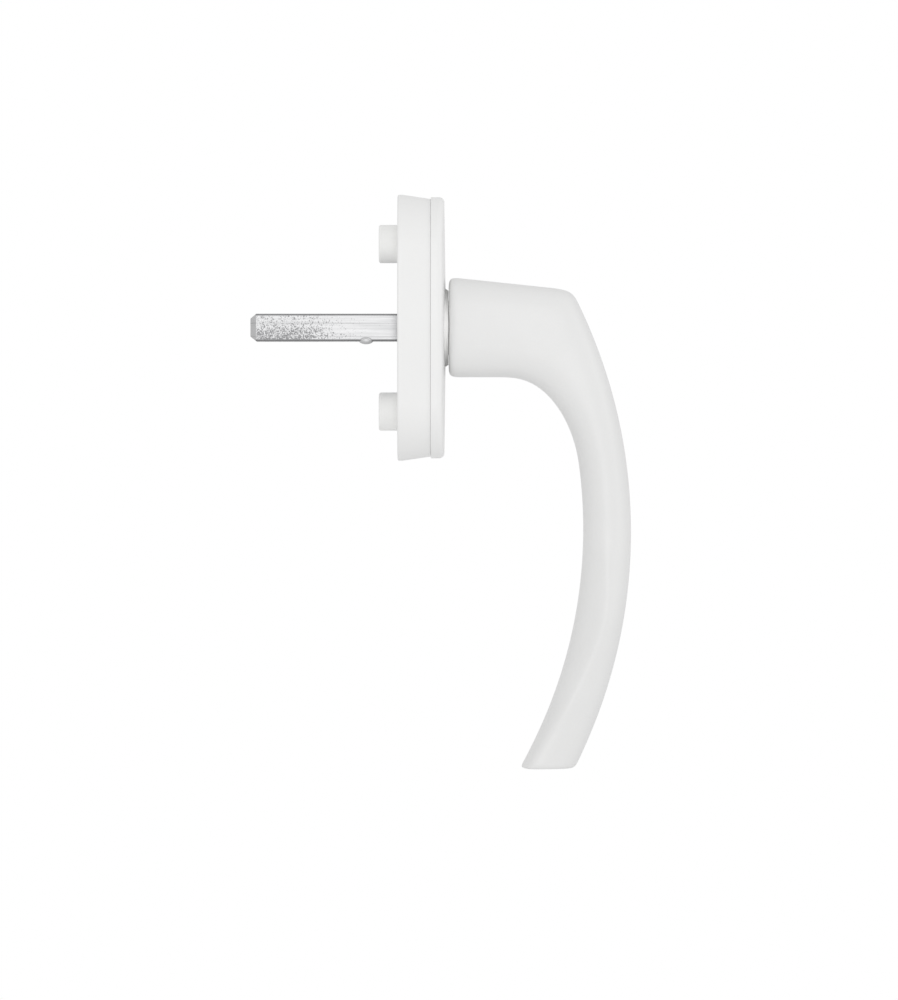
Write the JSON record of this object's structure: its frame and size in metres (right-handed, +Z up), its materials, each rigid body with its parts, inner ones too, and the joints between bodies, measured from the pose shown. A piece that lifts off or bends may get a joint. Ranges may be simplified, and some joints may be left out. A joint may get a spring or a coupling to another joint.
{
  "type": "tilt-and-turn window handle",
  "caption": "White lever handle with a down-curved grip on an oval rosette with a swivelling screw cover, a square spindle and locating lugs, for a tilt-and-turn window.",
  "frame": {"origin": "on the spindle's axis, in the mounting plane, which is the back face of the rosette, midway between the fixing screws", "axes": "+Z up along the line of the two fixing screws, +Y into the sash along the spindle, -Y into the room; the grip hangs towards -Z when closed"},
  "size_m": [0.0298, 0.0976, 0.147],
  "materials": {
    "white_coat": "white powder coat on cast aluminium, satin",
    "white_nylon": "moulded white nylon, matte",
    "white_acetal": "turned white acetal, satin",
    "natural_acetal": "punched natural acetal, satin",
    "zinc_steel": "drawn or pressed steel, bright zinc plated",
    "hard_steel": "hardened spring steel, oiled",
    "bright_steel": "polished bearing steel"
  },
  "bodies": {
    "rosette": {"rosette_base": "white_coat", "support_insert": "white_nylon", "bearing_bush": "white_acetal", "back_plate": "zinc_steel", "plate_screws": "zinc_steel", "upper_spring": "hard_steel", "lower_spring": "hard_steel"},
    "handle": {"lever": "white_coat", "spindle": "zinc_steel", "spindle_pin": "zinc_steel", "detent_wheel": "hard_steel", "thrust_washer": "natural_acetal", "dished_washer": "hard_steel", "retaining_ring": "hard_steel"},
    "cover": {"cover": "white_coat"},
    "upper_ball": {"upper_ball": "bright_steel"},
    "lower_ball": {"lower_ball": "bright_steel"}
  },
  "joints": [
    {"name": "handle_turn", "type": "hinge", "parent": "rosette", "child": "handle", "pos_m": [0, 0, 0], "axis": [0, -1, 0], "continuous": true},
    {"name": "cover_swivel", "type": "hinge", "parent": "rosette", "child": "cover", "pos_m": [0, 0, 0], "axis": [0, -1, 0], "range_deg": [-90, 90]},
    {"name": "upper_ball_drop", "type": "slide", "parent": "rosette", "child": "upper_ball", "axis": [0, 0, -1], "range_m": [0, 0.0007], "deforming": ["upper_spring"]},
    {"name": "lower_ball_drop", "type": "slide", "parent": "rosette", "child": "lower_ball", "axis": [0, 0, 1], "range_m": [0, 0.0007], "deforming": ["lower_spring"]}
  ]
}
